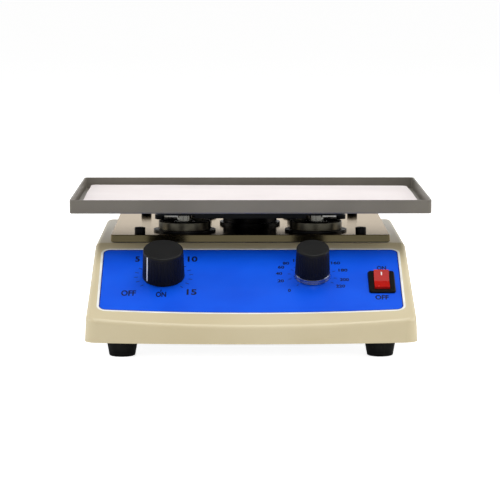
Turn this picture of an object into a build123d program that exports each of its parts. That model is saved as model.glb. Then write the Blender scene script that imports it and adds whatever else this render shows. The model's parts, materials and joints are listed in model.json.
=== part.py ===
from build123d import *
import math
import os

# Orbital shaker, in millimetres: X to the right, Y to the back, Z up, feet on Z = 0.
# The tray rests at the front of its orbit, so every crank points to the front.

# Housing
housing_width = 293.6
housing_depth = 342.5
housing_rise = 74.0
housing_wall = 3.0
wall_draft = 3.0
front_bow = 11.0
corner_radius = 12.0
edge_radius = 5.0
ridge_radius = 3.0
face_slope = 24.0
face_run = 131.8
foot_height = 13.5
rib_thick = 2.0
rib_reach = 5.0
boss_radius = 5.5
deck_boss_radius = 7.5
deck_boss_depth = 14.0

# Bottom pan and feet
pan_thick = 1.5
pan_recess = 1.5
pan_clearance = 0.6
foot_top_radius = 14.1
foot_bottom_radius = 11.4
foot_x = 114.0
foot_front_inset = 26.8
foot_rear_inset = 30.0
foot_recess_radius = 5.5
foot_recess_depth = 6.0
pan_screw_radius = 1.75
pan_screw_x = 133.5
pan_screw_inset = 34.0
foot_screw_radius = 2.0

# Control face, measured across X and down the slope from its top ridge
panel_width = 269.0
panel_length = 108.0
panel_start = 12.9
panel_bow = 5.8
panel_corner = 6.0
panel_thick = 0.7
panel_recess = 0.8
panel_clearance = 0.4
knob_down = 58.8
timer_x = -78.8
speed_x = 55.6
switch_x = 117.6
switch_down = 70.3

# Timer and its knob
timer_case = 39.0
timer_case_depth = 26.0
bushing_radius = 4.8
bushing_proud = 4.0
nut_flats = 13.5
nut_thick = 2.2
shaft_radius = 3.17
timer_knob_radius = 19.05
timer_knob_height = 27.5
knob_lift = 0.5
knob_taper = 1.0
knob_cavity_radius = 11.0
knob_cavity_depth = 6.0
flute_radius = 0.9
timer_flutes = 40
pointer_width = 1.3
pointer_depth = 0.8
timer_rest_angle = 230.0

# Speed control and its knob
pot_radius = 12.0
pot_depth = 13.0
speed_knob_radius = 15.7
speed_knob_height = 29.5
speed_ring_radius = 16.3
speed_ring_height = 4.2
speed_flutes = 36

# Rocker switch
bezel_width = 24.0
bezel_length = 36.0
bezel_proud = 2.0
switch_body_width = 20.0
switch_body_length = 31.0
switch_body_depth = 22.0
rocker_width = 13.6
rocker_length = 26.6
rocker_swing = 16.0
rocker_clearance = 0.35
rocker_skirt = 3.0
rocker_lean = 0.6
rocker_lip = 2.0
rocker_end_height = 6.7
rocker_valley_height = 3.2
rocker_axle_depth = 3.2
rocker_axle_radius = 1.5
rocker_axle_ends = 3.0
switch_well_depth = 12.0
switch_tab_thick = 0.8
switch_tab_width = 6.3
switch_tab_length = 8.0
switch_tab_spacing = 14.0

# Deck plate and its screws
deck_width = 258.0
deck_depth = 188.8
deck_thick = 6.5
gasket_thick = 0.8
deck_setback = 0.7
deck_corner = 4.0
deck_window_width = 180.0
deck_window_depth = 156.0
deck_screw_x = 102.4
deck_screw_inset = 10.0
deck_screw_radius = 3.0
deck_screw_length = 18.0

# Cranks
orbit_radius = 9.5
crank_spacing_x = 123.0
crank_spacing_y = 115.6
hub_flange_radius = 29.0
hub_flange_thick = 1.6
hub_boss_radius = 14.0
hub_boss_depth = 22.0
crank_bearing_radius = 11.0
crank_bearing_width = 7.0
crank_spindle_radius = 4.0
disc_radius = 24.36
disc_top = 9.5
disc_gap = 0.3
disc_recess_radius = 20.6
disc_recess_depth = 1.2
post_radius = 6.75
collar_radius = 10.0
collar_thick = 1.6
running_fit = 0.04
ring_nut_thick = 4.0
ring_nut_wall = 6.0

# Middle drive
drive_flange_radius = 28.85
drive_flange_thick = 2.5
drive_boss_radius = 19.0
drive_boss_depth = 22.0
drive_bearing_radius = 14.0
drive_bearing_width = 8.0
drive_spindle_radius = 6.0
rotor_radius = 25.75
rotor_top = 13.0
drive_pin_radius = 6.0
drive_shoulder_radius = 9.0

# Carrier and tray
tray_gap = 22.6
carrier_thick = 6.3
carrier_margin = 26.5
carrier_end = 13.0
carrier_corner = 9.0
carrier_rib_height = 3.5
carrier_rib_width = 10.0
carrier_rib_gap = 2.75
carrier_window_width = 66.0
carrier_window_depth = 17.0
pin_bearing_radius = 8.0
pin_bearing_width = 5.0
pin_stud_radius = 4.0
centre_bearing_radius = 12.0
centre_bearing_width = 6.0
keeper_overlap = 0.4
keeper_width = 10.0
keeper_reach = 18.5
keeper_thick = 2.2
keeper_screw_reach = 13.5
keeper_screw_radius = 1.5
tray_screw_reach = 23.0
tray_screw_radius = 2.5
tray_screw_head_radius = 4.5
tray_screw_head = 4.4
tray_width = 330.0
tray_depth = 229.0
tray_height = 12.5
tray_sheet = 1.5
tray_corner = 3.0
mat_width = 317.0
mat_depth = 218.0
mat_thick = 4.4
mat_corner = 8.0

# Belt drive and motor
belt_speed_ratio = 4.0
motor_groove_radius = 10.5
groove_depth = 4.0
groove_width = 5.6
belt_thick = 3.4
belt_width = 5.0
belt_clearance = 0.3
pulley_width = 10.0
pulley_hub_radius = 12.0
pulley_lightening_radius = 7.0
pulley_gap = 1.3
counterweight_radius = 41.0
counterweight_thick = 9.0
motor_reach = 80.0
motor_radius = 30.0
motor_shaft_radius = 3.0
motor_floor_gap = 2.0
bracket_thick = 2.0
bracket_half_width = 38.0
bracket_depth = 60.0
bracket_tab = 13.0
small_screw_radius = 2.0

# Control board
board_x = 62.0
board_back = 20.0
board_width = 68.0
board_depth = 62.0
board_thick = 1.6
standoff_height = 7.0
standoff_radius = 3.0

# Mains inlet and fuse drawer, at the back
inlet_x = -92.0
inlet_z = 50.0
inlet_width = 50.0
inlet_height = 36.0
inlet_flange = 2.5
inlet_pad_proud = 0.6
inlet_body_width = 29.0
inlet_body_height = 32.0
inlet_body_depth = 30.0
socket_width = 24.6
socket_height = 16.6
socket_depth = 17.0
socket_rise = 5.4
socket_chamfer = 4.5
pin_recess = 5.0
pin_width = 4.0
pin_thick = 2.0
pin_spacing = 14.0
drawer_width = 25.6
drawer_height = 8.4
drawer_depth = 24.0
drawer_drop = 10.4
drawer_lip = 1.2
drawer_clearance = 0.25
fuse_radius = 2.6
fuse_length = 20.0
inlet_screw_spacing = 40.0
inlet_screw_radius = 1.6

# Vents at the back
vent_count = 9
vent_width = 3.0
vent_height = 24.0
vent_pitch = 8.5
vent_x = 62.0
vent_z = 50.0

# Places worked out from the sizes above
slope = math.radians(face_slope)
inlet_proud = inlet_pad_proud + inlet_flange + drawer_lip
y_front = -(housing_depth + inlet_proud) / 2
y_back = y_front + housing_depth
z_bottom = foot_height
z_top = foot_height + housing_rise
y_ridge = y_front + face_run
pan_floor = z_bottom + pan_recess
pan_top = pan_floor + pan_thick
deck_front = y_ridge + deck_setback
deck_middle = deck_front + deck_depth / 2
deck_bottom = z_top + gasket_thick
deck_z = deck_bottom + deck_thick
carrier_top = deck_z + tray_gap
carrier_bottom = carrier_top - carrier_thick
pin_row_x = crank_spacing_x / 2
carrier_middle = deck_middle - orbit_radius
ceiling = z_top - housing_wall
big_groove_radius = motor_groove_radius * belt_speed_ratio
pulley_top = deck_z - drive_boss_depth - pulley_gap
pulley_rim_top = pulley_top - 2.0
pulley_bottom = pulley_rim_top - pulley_width
belt_middle = pulley_rim_top - pulley_width / 2
motor_y = deck_middle - motor_reach
bracket_z = pulley_bottom - 4.0
far = 2 * max(housing_width, housing_depth)

face_plane = Plane(
    origin=(0, y_ridge, z_top),
    x_dir=(1, 0, 0),
    z_dir=(0, -math.sin(slope), math.cos(slope)),
)

crank_places = {
    "front_left": (-pin_row_x, deck_middle - crank_spacing_y / 2),
    "front_right": (pin_row_x, deck_middle - crank_spacing_y / 2),
    "rear_left": (-pin_row_x, deck_middle + crank_spacing_y / 2),
    "rear_right": (pin_row_x, deck_middle + crank_spacing_y / 2),
}
foot_places = {
    "front_left": (-foot_x, y_front + foot_front_inset),
    "front_right": (foot_x, y_front + foot_front_inset),
    "rear_left": (-foot_x, y_back - foot_rear_inset),
    "rear_right": (foot_x, y_back - foot_rear_inset),
}
deck_screw_places = [
    (side * deck_screw_x, deck_middle + end * (deck_depth / 2 - deck_screw_inset))
    for side in (-1, 1)
    for end in (-1, 1)
]
pan_screw_places = [
    (side * pan_screw_x, y)
    for side in (-1, 1)
    for y in (y_front + pan_screw_inset + front_bow, (y_front + y_back) / 2, y_back - pan_screw_inset)
]


def rod(x, y, z_low, z_high, radius):
    """Upright cylinder between two heights."""
    height = z_high - z_low
    return Pos(x, y, z_low + height / 2) * Cylinder(radius, height)


def tube(x, y, z_low, z_high, radius, bore):
    return rod(x, y, z_low, z_high, radius) - rod(x, y, z_low - 1, z_high + 1, bore)


def block(x, y, z_low, z_high, width, depth):
    height = z_high - z_low
    return Pos(x, y, z_low + height / 2) * Box(width, depth, height)


def rounded_slab(x, y, z_low, z_high, width, depth, radius):
    outline = Pos(x, y, z_low) * RectangleRounded(width, depth, radius)
    return extrude(outline, z_high - z_low)


def on_face(x, down, height=0.0):
    """Place on the control face: across, down the slope and out of it."""
    return face_plane * Pos(x, -down, height)


def socket_screw(x, y, seat, shank_end, head_radius, head_height, shank_radius):
    """Socket-head screw standing on its seat, its head upwards or downwards."""
    up = 1 if seat > shank_end else -1
    head_end = seat + up * head_height
    screw = rod(x, y, min(seat, head_end), max(seat, head_end), head_radius)
    rim = screw.edges().filter_by(GeomType.CIRCLE).sort_by(Axis.Z)[-1 if up > 0 else 0]
    screw = chamfer(rim, head_radius * 0.1)
    key = RegularPolygon(head_radius * 0.55, 6)
    key_depth = head_height * 0.55
    screw -= Pos(x, y, head_end - up * key_depth) * extrude(key, up * (key_depth + 1))
    return screw + rod(x, y, min(seat, shank_end), max(seat, shank_end), shank_radius)


def ball_bearing(x, y, z_low, width, outer, bore):
    """Shielded bearing: two rings with a sunk shield between them on each side."""
    band = (outer - bore) / 4
    bearing = tube(x, y, z_low, z_low + width, outer, bore)
    sunk = width * 0.08
    for level in (z_low, z_low + width - sunk):
        bearing -= tube(x, y, level, level + sunk, outer - band, bore + band)
    return bearing


def plan_outline(inset):
    """Straight sides and back, and a front that bulges forwards."""
    half = housing_width / 2 - inset
    corner_y = y_front + front_bow + inset
    back = y_back - inset
    front = ThreePointArc((-half, corner_y), (0, y_front + inset), (half, corner_y))
    rest = Polyline((half, corner_y), (half, back), (-half, back), (-half, corner_y))
    outline = make_face(front.edges() + rest.edges())
    return fillet(outline.vertices(), corner_radius - inset)


def housing_block(inset):
    """The housing's outer form, or the space inside it at the wall's thickness."""
    prism = extrude(Pos(0, 0, z_bottom) * plan_outline(inset), housing_rise + 2, taper=wall_draft)
    top = z_top - inset
    ridge = y_ridge + inset * math.tan(slope / 2)
    reach = face_run + 40
    profile = Polyline(
        (ridge - reach, z_bottom),
        (ridge - reach, top - reach * math.tan(slope)),
        (ridge, top),
        (far, top),
        (far, z_bottom),
        close=True,
    )
    side_view = make_face(Plane.YZ * profile)
    return prism & extrude(side_view, housing_width, both=True)


def rounded_housing():
    """Outer form with its ridge eased first, then every edge round the top and the face."""
    form = housing_block(0)
    form = fillet([edge for edge in form.edges() if is_ridge(edge)], ridge_radius)
    return fillet([edge for edge in form.edges() if is_rim(edge)], edge_radius)


def is_ridge(edge):
    """Edges across the housing where the face meets the flat top."""
    step = edge @ 1 - edge @ 0
    middle = edge.center()
    near = abs(middle.Y - y_ridge) < 3 * ridge_radius and middle.Z > z_top - 2 * ridge_radius
    return near and abs(step.X) > 0.9 * edge.length


def is_rim(edge):
    """Sharp edges round the top and the sloped face, apart from the eased ridge."""
    if edge.center().Z < z_bottom + 2 or is_ridge(edge):
        return False
    return abs((edge @ 1 - edge @ 0).Z) < 0.8 * edge.length


def panel_outline(grow):
    """Panel with straight top and sides and a bowed lower edge."""
    half = panel_width / 2 + grow
    top = -panel_start + grow
    bottom = -(panel_start + panel_length) - grow
    side_end = bottom + panel_bow
    lower = ThreePointArc((-half, side_end), (0, bottom), (half, side_end))
    rest = Polyline((half, side_end), (half, top), (-half, top), (-half, side_end))
    outline = make_face(lower.edges() + rest.edges())
    return fillet(outline.vertices(), panel_corner + grow)


def face_holes(clearance):
    """Holes through the face for the two bushings and the switch body."""
    cut = on_face(timer_x, knob_down) * Cylinder(bushing_radius + clearance, 20)
    cut += on_face(speed_x, knob_down) * Cylinder(bushing_radius + clearance, 20)
    cut += on_face(switch_x, switch_down) * Box(
        switch_body_width + 2 * clearance, switch_body_length + 2 * clearance, 20
    )
    return cut


def make_housing():
    inside = housing_block(housing_wall)
    shell = rounded_housing() - inside
    posts = Part()
    for x, y in pan_screw_places:
        posts += rod(x, y, pan_top, z_top, boss_radius)
        side = 1 if x > 0 else -1
        web = housing_width / 2 - abs(x)
        posts += block(x + side * web / 2, y, pan_top, z_top, web, rib_thick)
    for side in (-1, 1):
        for step in (0.3, 0.7):
            y = y_front + housing_depth * step
            x = side * (housing_width / 2 - housing_wall)
            posts += block(x, y, pan_top + 6, z_top, 2 * rib_reach + 10, rib_thick)
    for x, y in deck_screw_places:
        posts += rod(x, y, z_top - deck_boss_depth, z_top, deck_boss_radius)
    shell += posts & inside
    pad_low = inlet_z - inlet_height / 2 - 2
    pad = block(
        inlet_x, y_back - housing_wall, pad_low, pad_low + inlet_height + 4,
        inlet_width + 4, 2 * (housing_wall + inlet_pad_proud),
    )
    shell += pad
    window = rounded_slab(
        0, deck_middle, ceiling - 5, z_top + 1, deck_window_width, deck_window_depth, corner_radius
    )
    shell -= window
    for x, y in pan_screw_places:
        shell -= rod(x, y, pan_top - 1, pan_top + 12, pan_screw_radius)
    for x, y in deck_screw_places:
        shell -= rod(x, y, z_top - deck_boss_depth - 1, z_top + 1, deck_screw_radius)
    recess = extrude(face_plane * panel_outline(panel_clearance), -panel_recess)
    shell -= recess
    shell -= face_holes(panel_clearance)
    shell -= Pos(inlet_x, y_back, inlet_z) * Box(
        inlet_body_width + 2 * panel_clearance, 30, inlet_body_height + 2 * panel_clearance
    )
    for side in (-1, 1):
        place = Pos(inlet_x + side * inlet_screw_spacing / 2, y_back, inlet_z) * Rot(90, 0, 0)
        shell -= place * Cylinder(inlet_screw_radius, 30)
    for i in range(vent_count):
        x = vent_x + (i - (vent_count - 1) / 2) * vent_pitch
        slot = Plane.XZ * Pos(x, vent_z) * SlotOverall(vent_height, vent_width, rotation=90)
        shell -= Pos(0, y_back + 10, 0) * extrude(slot, 30)
    return shell


def make_pan():
    pan = extrude(Pos(0, 0, pan_floor) * plan_outline(housing_wall + pan_clearance), pan_thick)
    for x, y in pan_screw_places:
        pan -= rod(x, y, pan_floor - 1, pan_top + 1, pan_screw_radius)
    for x, y in foot_places.values():
        pan -= rod(x, y, pan_floor - 1, pan_top + 1, foot_screw_radius)
    for column in (-1, 1):
        for row in range(6):
            x = column * 62
            y = deck_middle + (row - 1) * 14
            slot = Pos(x, y, pan_floor - 1) * SlotOverall(40, 4)
            pan -= extrude(slot, pan_thick + 2)
    for place in bracket_screw_places:
        pan -= rod(*place, pan_floor - 1, pan_top + 1, small_screw_radius)
    return pan


def make_foot(x, y):
    """Tapered rubber foot with a screw recess in its sole."""
    height = pan_floor
    foot = Pos(x, y, height / 2) * Cone(foot_bottom_radius, foot_top_radius, height)
    sole = foot.edges().filter_by(GeomType.CIRCLE).sort_by(Axis.Z)[0]
    foot = fillet(sole, 1.2)
    foot -= rod(x, y, -1, foot_recess_depth, foot_recess_radius)
    return foot - rod(x, y, -1, height + 1, foot_screw_radius)


def pan_screw(x, y, seat, end, head_radius, head_height, shank_radius):
    """Dome-head screw, its head below its seat."""
    head = rod(x, y, seat - head_height, seat, head_radius)
    rim = head.edges().filter_by(GeomType.CIRCLE).sort_by(Axis.Z)[0]
    head = fillet(rim, head_height * 0.45)
    return head + rod(x, y, seat, end, shank_radius)


def make_deck_plate():
    plate = rounded_slab(0, deck_middle, deck_bottom, deck_z, deck_width, deck_depth, deck_corner)
    plate = chamfer(plate.faces().sort_by(Axis.Z)[-1].edges(), 0.5)
    for x, y in crank_places.values():
        plate -= rod(x, y, deck_bottom - 1, deck_z + 1, hub_boss_radius)
    plate -= rod(0, deck_middle, deck_bottom - 1, deck_z + 1, drive_boss_radius)
    for x, y in deck_screw_places:
        plate -= rod(x, y, deck_bottom - 1, deck_z + 1, deck_screw_radius)
    return plate


def make_gasket():
    gasket = rounded_slab(
        0, deck_middle, z_top, deck_bottom, deck_width - 2, deck_depth - 2 * deck_setback, deck_corner
    )
    gasket -= rounded_slab(
        0, deck_middle, z_top - 1, deck_bottom + 1, deck_window_width, deck_window_depth, corner_radius
    )
    for x, y in deck_screw_places:
        gasket -= rod(x, y, z_top - 1, deck_bottom + 1, deck_screw_radius)
    return gasket


def make_hub(x, y, flange_radius, flange_thick, boss_radius_, depth, bearing_radius, width):
    """Flange on the deck with a boss below that holds two bearings."""
    top = deck_z + flange_thick
    low = deck_z - depth
    hub = rod(x, y, deck_z, top, flange_radius) + rod(x, y, low, deck_z, boss_radius_)
    hub -= rod(x, y, low - 1, top + 1, bearing_radius - 1.5)
    hub -= rod(x, y, top - width, top + 1, bearing_radius)
    hub -= rod(x, y, low - 1, low + width, bearing_radius)
    return hub


def hub_bearings(x, y, flange_thick, depth, bearing_radius, width, bore):
    upper = ball_bearing(x, y, deck_z + flange_thick - width, width, bearing_radius, bore)
    lower = ball_bearing(x, y, deck_z - depth, width, bearing_radius, bore)
    return [upper, lower]


def ring_nut(x, y, bore):
    """Slotted ring nut that clamps a hub from below the deck plate."""
    nut = tube(x, y, deck_bottom - ring_nut_thick, deck_bottom, bore + ring_nut_wall, bore)
    for i in range(4):
        slot = Pos(bore + ring_nut_wall, 0, 0) * Box(4, 4, ring_nut_thick + 2)
        nut -= Pos(x, y, deck_bottom - ring_nut_thick / 2) * Rot(0, 0, 90 * i) * slot
    return nut


def make_crank_disc(x, y):
    """Dark disc on its spindle, with a dished top and the seat of its post."""
    low = deck_z + hub_flange_thick + disc_gap
    top = deck_z + disc_top
    disc = rod(x, y, low, top, disc_radius)
    disc = fillet(disc.edges().filter_by(GeomType.CIRCLE).sort_by(Axis.Z)[-1], 0.8)
    disc -= rod(x, y, top - disc_recess_depth, top + 1, disc_recess_radius)
    spindle_end = deck_z - hub_boss_depth - 2
    spindle = rod(x, y, spindle_end, low, crank_spindle_radius - running_fit)
    groove = tube(
        x, y, spindle_end + 0.7, spindle_end + 1.5, crank_spindle_radius + 1, crank_spindle_radius - 0.6
    )
    return disc + spindle - groove


def make_crank_pin(x, y):
    """Steel post with a collar on the disc and a stud for the carrier's bearing."""
    seat = deck_z + disc_top - disc_recess_depth
    shoulder = carrier_bottom - 0.2
    post = rod(x, y, seat, shoulder, post_radius)
    post = chamfer(post.edges().filter_by(GeomType.CIRCLE).sort_by(Axis.Z)[-1], 0.8)
    collar = rod(x, y, seat, seat + collar_thick, collar_radius)
    collar = chamfer(collar.edges().filter_by(GeomType.CIRCLE).sort_by(Axis.Z)[-1], 0.4)
    stud = rod(x, y, shoulder, carrier_bottom + pin_bearing_width + 0.6, pin_stud_radius - running_fit)
    return post + collar + stud


def make_drive_rotor():
    """Black disc over the middle hub, with the eccentric pin that drives the carrier."""
    low = deck_z + drive_flange_thick + disc_gap
    top = deck_z + rotor_top
    rotor = rod(0, deck_middle, low, top, rotor_radius)
    rotor = fillet(rotor.edges().filter_by(GeomType.CIRCLE).sort_by(Axis.Z)[-1], 1.2)
    rotor -= rod(0, deck_middle, low - 1, top - 4, drive_spindle_radius)
    shoulder = carrier_bottom - 0.2
    rotor += rod(0, carrier_middle, top - 1, shoulder, drive_shoulder_radius)
    stud_end = carrier_bottom + centre_bearing_width
    return rotor + rod(0, carrier_middle, shoulder, stud_end, drive_pin_radius - running_fit)


def make_drive_spindle():
    end = pulley_bottom - counterweight_thick - 2
    spindle = rod(0, deck_middle, end, deck_z + rotor_top - 4, drive_spindle_radius - running_fit)
    return chamfer(spindle.edges().filter_by(GeomType.CIRCLE).sort_by(Axis.Z)[0], 0.6)


def pulley(x, y, groove_radius, bore):
    """Flanged pulley: the belt runs in a square groove round its rim."""
    rim = groove_radius + groove_depth
    wheel = rod(x, y, pulley_bottom, pulley_rim_top, rim)
    groove = tube(
        x, y, belt_middle - groove_width / 2, belt_middle + groove_width / 2, rim + 1, groove_radius
    )
    return wheel - groove - rod(x, y, pulley_bottom - 1, pulley_rim_top + 1, bore)


def make_drive_pulley():
    bore = drive_spindle_radius - running_fit
    wheel = pulley(0, deck_middle, big_groove_radius, bore)
    wheel += tube(0, deck_middle, pulley_rim_top, pulley_top, pulley_hub_radius, bore)
    middle = (pulley_hub_radius + big_groove_radius) / 2
    for i in range(6):
        hole = Pos(middle, 0, belt_middle) * Cylinder(pulley_lightening_radius, 3 * pulley_width)
        wheel -= Pos(0, deck_middle, 0) * Rot(0, 0, 60 * i + 30) * hole
    for x, y in rivet_places:
        wheel -= rod(x, y, pulley_bottom - 1, pulley_rim_top + 1, small_screw_radius)
    return wheel


rivet_places = [
    (side * (pulley_hub_radius + 7) * 0.5, deck_middle + (pulley_hub_radius + 7) * 0.87)
    for side in (-1, 1)
]


def make_counterweight():
    """Half ring of steel under the pulley, opposite to the eccentric pin, with two rivets."""
    low = pulley_bottom - counterweight_thick
    ring = tube(0, deck_middle, low, pulley_bottom, counterweight_radius, drive_spindle_radius + 2)
    weight = ring & block(0, deck_middle + far / 2, low - 1, pulley_bottom + 1, far, far)
    for x, y in rivet_places:
        weight += rod(x, y, pulley_bottom - 1, pulley_rim_top, small_screw_radius)
    return weight


def belt_outline(big, small):
    """Closed loop of two arcs and the two straight runs that touch them."""
    lean = math.asin((big - small) / motor_reach)
    cosine = math.cos(lean)
    sine = math.sin(lean)
    big_touch = (big * cosine, deck_middle - big * sine)
    small_touch = (small * cosine, motor_y - small * sine)
    back = ThreePointArc(big_touch, (0, deck_middle + big), (-big_touch[0], big_touch[1]))
    front = ThreePointArc((-small_touch[0], small_touch[1]), (0, motor_y - small), small_touch)
    left = Line((-big_touch[0], big_touch[1]), (-small_touch[0], small_touch[1]))
    right = Line(small_touch, big_touch)
    return make_face([back.edge(), left.edge(), front.edge(), right.edge()])


def make_belt():
    inner = belt_outline(big_groove_radius + belt_clearance, motor_groove_radius + belt_clearance)
    outer = belt_outline(
        big_groove_radius + belt_clearance + belt_thick,
        motor_groove_radius + belt_clearance + belt_thick,
    )
    loop = extrude(Pos(0, 0, belt_middle - belt_width / 2) * outer, belt_width)
    return loop - extrude(Pos(0, 0, belt_middle - belt_width / 2 - 1) * inner, belt_width + 2)


bracket_screw_places = [
    (side * (bracket_half_width + bracket_thick + bracket_tab / 2), motor_y + end * bracket_depth * 0.3)
    for side in (-1, 1)
    for end in (-1, 1)
]
motor_screw_places = [
    (side * motor_radius * 0.6, motor_y + end * motor_radius * 0.6) for side in (-1, 1) for end in (-1, 1)
]


def make_bracket():
    """Bent sheet bridge that hangs the motor over the pan."""
    low = bracket_z - bracket_thick
    outer = bracket_half_width + bracket_thick
    bridge = block(0, motor_y, low, bracket_z, 2 * outer, bracket_depth)
    for side in (-1, 1):
        leg_x = side * (bracket_half_width + bracket_thick / 2)
        bridge += block(leg_x, motor_y, pan_top, bracket_z, bracket_thick, bracket_depth)
        tab_x = side * (outer + bracket_tab / 2)
        bridge += block(tab_x, motor_y, pan_top, pan_top + bracket_thick, bracket_tab, bracket_depth)
    bridge -= rod(0, motor_y, low - 1, bracket_z + 1, motor_shaft_radius + 6)
    for x, y in motor_screw_places:
        bridge -= rod(x, y, low - 1, bracket_z + 1, small_screw_radius)
    for x, y in bracket_screw_places:
        bridge -= rod(x, y, pan_top - 1, pan_top + bracket_thick + 1, small_screw_radius)
    return bridge


def make_motor():
    """Round motor case with end caps, a front boss and cooling slots."""
    top = bracket_z - bracket_thick
    low = pan_top + motor_floor_gap
    body = rod(0, motor_y, low, top, motor_radius)
    body = fillet(body.edges().filter_by(GeomType.CIRCLE), 2.5)
    body += rod(0, motor_y, top - 1, top + bracket_thick, motor_shaft_radius + 5.5)
    for level in (low + 7, top - 9):
        body -= tube(0, motor_y, level, level + 1.2, motor_radius + 2, motor_radius - 0.8)
    for i in range(8):
        slot = Pos(motor_radius, 0, (low + top) / 2) * Box(6, 4, 12)
        body -= Pos(0, motor_y, 0) * Rot(0, 0, 45 * i + 22.5) * slot
    body -= rod(0, motor_y, top - 18, top + bracket_thick + 1, motor_shaft_radius + 0.05)
    for x, y in motor_screw_places:
        body -= rod(x, y, top - 6, top + 1, small_screw_radius)
    return body


def make_carrier():
    """Black plate under the tray, with ribs between the posts and bearing pockets."""
    width = crank_spacing_x + 2 * carrier_margin
    depth = crank_spacing_y + 2 * carrier_end
    plate = rounded_slab(0, carrier_middle, carrier_bottom, carrier_top, width, depth, carrier_corner)
    rib = crank_spacing_x - 2 * (post_radius + carrier_rib_gap)
    for end in (-1, 1):
        y = carrier_middle + end * crank_spacing_y / 2
        bar = block(
            0, y, carrier_bottom - carrier_rib_height, carrier_bottom + 1, rib, carrier_rib_width
        )
        plate += bar
        window_y = carrier_middle + end * (centre_bearing_radius + crank_spacing_y / 2) / 2
        for side in (-1, 1):
            plate -= rounded_slab(
                side * crank_spacing_x / 4 * 1.15, window_y, carrier_bottom - 1, carrier_top + 1,
                carrier_window_width / 2, carrier_window_depth, 4,
            )
    for x, y in crank_places.values():
        y -= orbit_radius
        plate -= rod(x, y, carrier_bottom - 1, carrier_bottom + pin_bearing_width, pin_bearing_radius)
        plate -= rod(x, y, carrier_bottom - 1, carrier_top + 1, pin_bearing_radius - 2)
        side = 1 if x > 0 else -1
        plate -= rod(
            x + side * tray_screw_reach, y, carrier_bottom - 1, carrier_top + 1, tray_screw_radius
        )
        plate -= rod(
            x + side * keeper_screw_reach, y, carrier_bottom - 1, carrier_bottom + 5, keeper_screw_radius
        )
    top_of_centre = carrier_bottom + centre_bearing_width
    plate -= rod(0, carrier_middle, carrier_bottom - 1, top_of_centre, centre_bearing_radius)
    return plate


def make_keeper(x, y):
    """Bright plate beside a post that keeps the bearing in its pocket."""
    side = 1 if x > 0 else -1
    low = carrier_bottom - keeper_thick
    tongue = block(x + side * keeper_reach / 2, y, low, carrier_bottom, keeper_reach, keeper_width)
    tongue -= rod(x, y, low - 1, carrier_bottom + 1, pin_bearing_radius - keeper_overlap)
    place = x + side * keeper_screw_reach
    return tongue - rod(place, y, low - 1, carrier_bottom + 1, keeper_screw_radius)


def make_tray():
    """Folded sheet tray: a floor and four low walls."""
    outer = rounded_slab(
        0, carrier_middle, carrier_top, carrier_top + tray_height, tray_width, tray_depth, tray_corner
    )
    outer = fillet(outer.faces().sort_by(Axis.Z)[0].edges(), tray_sheet)
    inner = rounded_slab(
        0, carrier_middle, carrier_top + tray_sheet, carrier_top + tray_height + 1,
        tray_width - 2 * tray_sheet, tray_depth - 2 * tray_sheet, tray_corner - tray_sheet,
    )
    tray = outer - inner
    for x, y in crank_places.values():
        side = 1 if x > 0 else -1
        place = x + side * tray_screw_reach
        tray -= rod(
            place, y - orbit_radius, carrier_top - 1, carrier_top + tray_sheet + 1, tray_screw_radius
        )
    return tray


def make_mat():
    low = carrier_top + tray_sheet
    return rounded_slab(0, carrier_middle, low, low + mat_thick, mat_width, mat_depth, mat_corner)


def make_knob(x, radius, height, flutes, low):
    """Fluted skirt, slightly tapered, hollow below to clear the panel nut."""
    length = height - low
    body = on_face(x, knob_down, knob_seat + low + length / 2) * Cone(radius, radius - knob_taper, length)
    crown = body.edges().filter_by(GeomType.CIRCLE).sort_by(Axis.Z)[-1]
    body = fillet(crown, 1.4)
    for i in range(flutes):
        lean = math.degrees(math.atan(knob_taper / length))
        groove = Pos(radius - knob_taper / 2 + flute_radius * 0.6, 0, 0) * Rot(0, -lean, 0)
        groove = groove * Cylinder(flute_radius, length - 7)
        turn = Rot(0, 0, 360 * (i + 0.5) / flutes)
        body -= on_face(x, knob_down, knob_seat + low + length / 2) * turn * groove
    body -= on_face(x, knob_down, knob_seat + knob_cavity_depth / 2 - 1) * Cylinder(
        knob_cavity_radius, knob_cavity_depth + 2
    )
    bore_top = knob_seat + height - 5
    bore_low = knob_seat
    bore = Cylinder(shaft_radius, bore_top - bore_low)
    return body - on_face(x, knob_down, (bore_top + bore_low) / 2) * bore


knob_seat = -panel_recess + panel_thick + knob_lift


def make_pointer_slot(extra):
    """Strip set in the timer knob's side and top, pointing to its rest mark."""
    turn = 90 - timer_rest_angle
    strip_height = timer_knob_height - 3.2
    side = Pos(timer_knob_radius - pointer_depth / 2 + extra / 2, 0, strip_height / 2)
    bar = side * Box(pointer_depth + extra, pointer_width, strip_height)
    lean = math.degrees(math.atan(knob_taper / timer_knob_height))
    place = on_face(timer_x, knob_down, knob_seat + 1.2) * Rot(0, 0, turn)
    return place * Rot(0, -lean, 0) * bar


def knob_shaft(x, height, bushing_end):
    """Shaft from inside the bushing up into the knob."""
    low = bushing_end - 8
    top = knob_seat + height - 5
    return on_face(x, knob_down, (low + top) / 2) * Cylinder(shaft_radius, top - low)


bushing_end = -panel_recess + panel_thick + bushing_proud
behind_wall = -housing_wall


def face_bushing(x):
    """Threaded bushing through the wall, bored for the shaft."""
    length = bushing_end - behind_wall
    bushing = on_face(x, knob_down, behind_wall + length / 2) * Cylinder(bushing_radius, length)
    bore_low = bushing_end - 8.5
    bore = Cylinder(shaft_radius + running_fit, 12)
    return bushing, on_face(x, knob_down, bore_low + 6) * bore


def make_timer_body():
    bushing, bore = face_bushing(timer_x)
    case = on_face(timer_x, knob_down, behind_wall - timer_case_depth / 2) * Box(
        timer_case, timer_case, timer_case_depth
    )
    case = fillet(case.edges(), 2.5)
    return case + bushing - bore


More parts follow.
